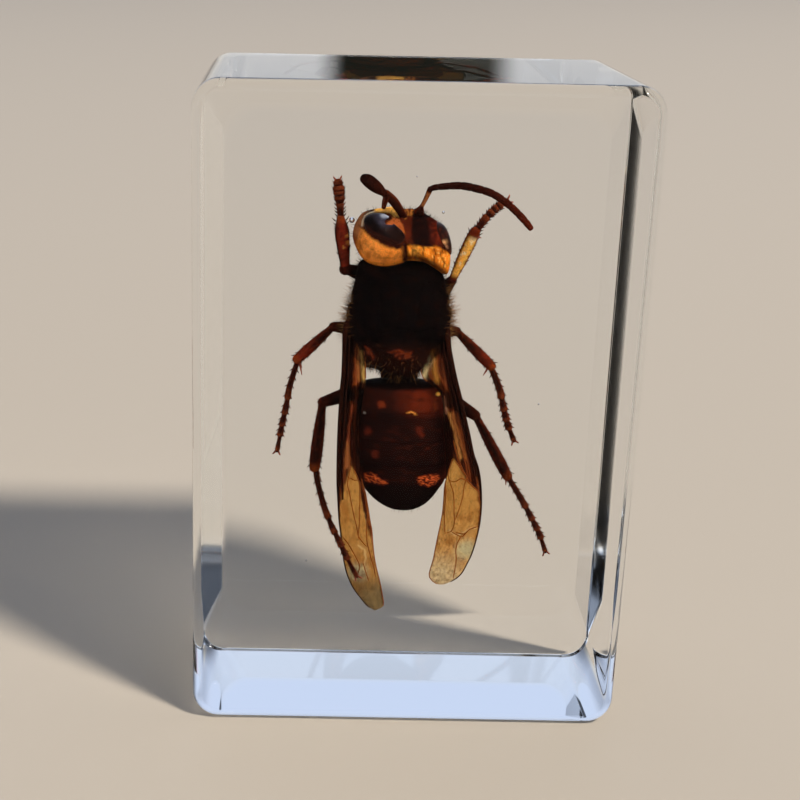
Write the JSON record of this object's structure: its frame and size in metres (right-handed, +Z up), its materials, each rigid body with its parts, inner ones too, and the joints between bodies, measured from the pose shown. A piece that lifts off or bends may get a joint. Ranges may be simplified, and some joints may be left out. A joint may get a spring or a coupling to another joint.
{
  "type": "insect in resin block",
  "caption": "Dried hornet sealed in a clear cast resin block with polished rounded edges; it stands on end as a specimen display or paperweight.",
  "frame": {"origin": "middle of the base that the block stands on", "axes": "+Z up, +X to the right of someone who faces the front, +Y from the front face to the back face; the hornet's back is towards -Y and its head is up"},
  "size_m": [0.04, 0.025, 0.06],
  "materials": {
    "resin": "clear cast resin, polished",
    "cuticle": "dried insect cuticle, satin, dark red-brown with amber head"
  },
  "bodies": {
    "root": {"resin_front_half": "resin", "resin_back_half": "resin", "hornet": "cuticle"}
  },
  "joints": []
}
